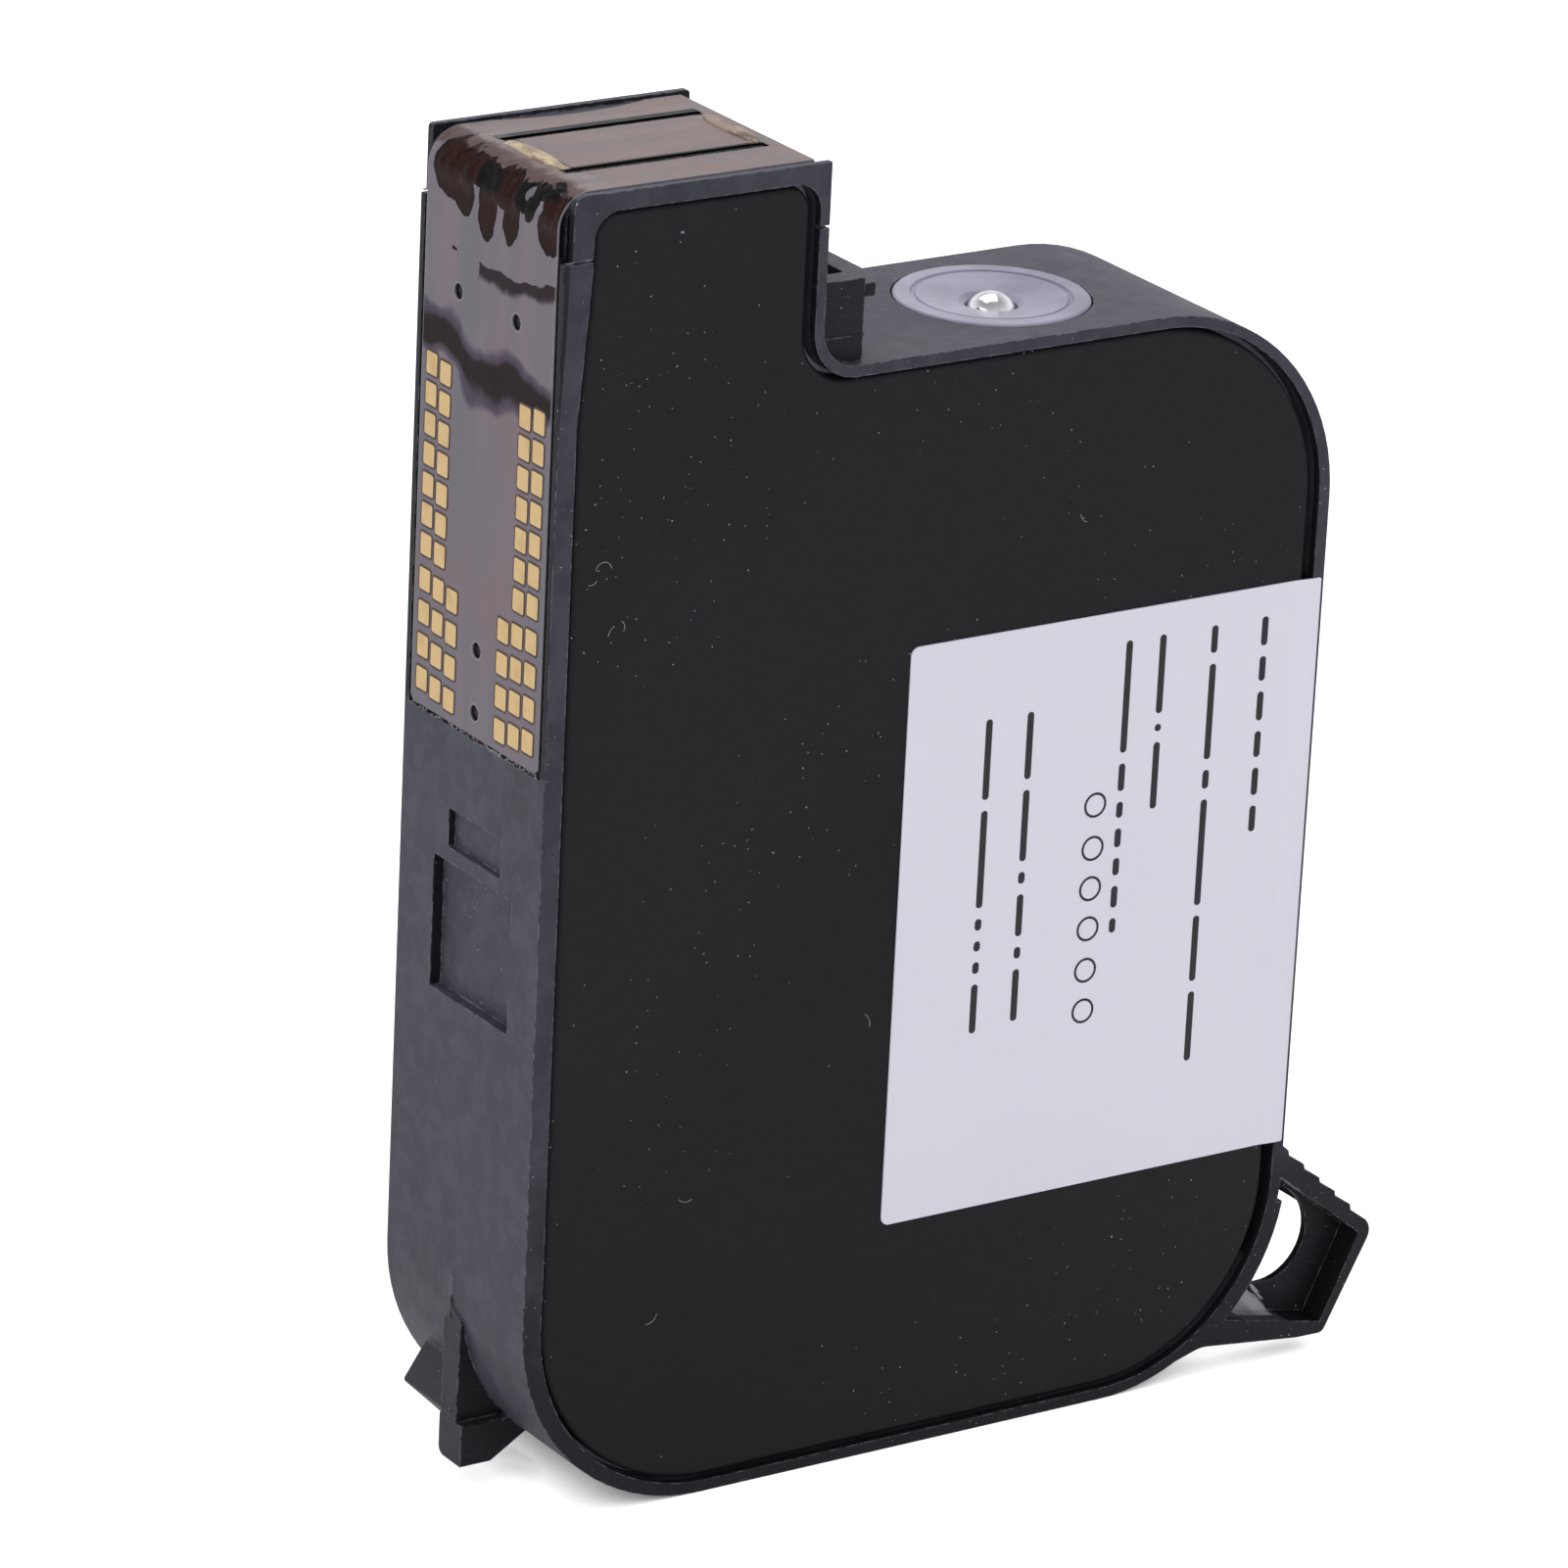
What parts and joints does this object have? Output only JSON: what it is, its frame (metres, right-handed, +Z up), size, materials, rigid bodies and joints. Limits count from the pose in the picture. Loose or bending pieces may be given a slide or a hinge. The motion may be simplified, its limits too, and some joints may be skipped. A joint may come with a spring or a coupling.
{
  "type": "inkjet ink cartridge",
  "caption": "Upright ink cartridge with a tall print head snout, wrapped contact film, ball-plugged fill port, ridged finger latch and flat sheet side covers.",
  "frame": {"origin": "middle of the flat edge that the cartridge stands on", "axes": "+Z up towards the nozzle face, -X towards the contact face, +X towards the finger latch, Y across the thickness, -Y towards the label"},
  "size_m": [0.0671, 0.0171, 0.0893],
  "materials": {
    "frame": "matte, fine moulded grain",
    "cover": "satin black coating on pressed sheet",
    "liner": "milky lilac grey, slightly translucent",
    "ball": "polished",
    "label": "plain pale coated paper",
    "bag_film": "clear film",
    "plate_pad": "clear film",
    "plate": "plain steel sheet",
    "spring": "spring steel strip",
    "carrier": "plain moulding",
    "screen": "fine woven steel",
    "die": "polished silicon",
    "die_adhesive": "cured adhesive",
    "film": "semi-gloss mauve brown film",
    "film_adhesive": "bonding sheet",
    "pads": "gold plated",
    "front_bead": "cured cream sealant",
    "rear_bead": "cured tan sealant"
  },
  "bodies": {
    "root": {"outer_frame": "frame", "inner_frame": "liner", "fill_ball": "ball", "label_side_cover": "cover", "plain_side_cover": "cover", "label": "label", "near_bag_film": "bag_film", "far_bag_film": "bag_film", "near_plate_pad": "plate_pad", "far_plate_pad": "plate_pad", "near_pressure_plate": "plate", "far_pressure_plate": "plate", "bow_spring": "spring", "filter_carrier": "carrier", "near_filter_screen": "screen", "far_filter_screen": "screen", "printhead_die": "die", "die_adhesive": "die_adhesive", "flex_circuit": "film", "flex_adhesive": "film_adhesive", "contact_pads": "pads", "front_lead_bead": "front_bead", "rear_lead_bead": "rear_bead"}
  },
  "joints": []
}
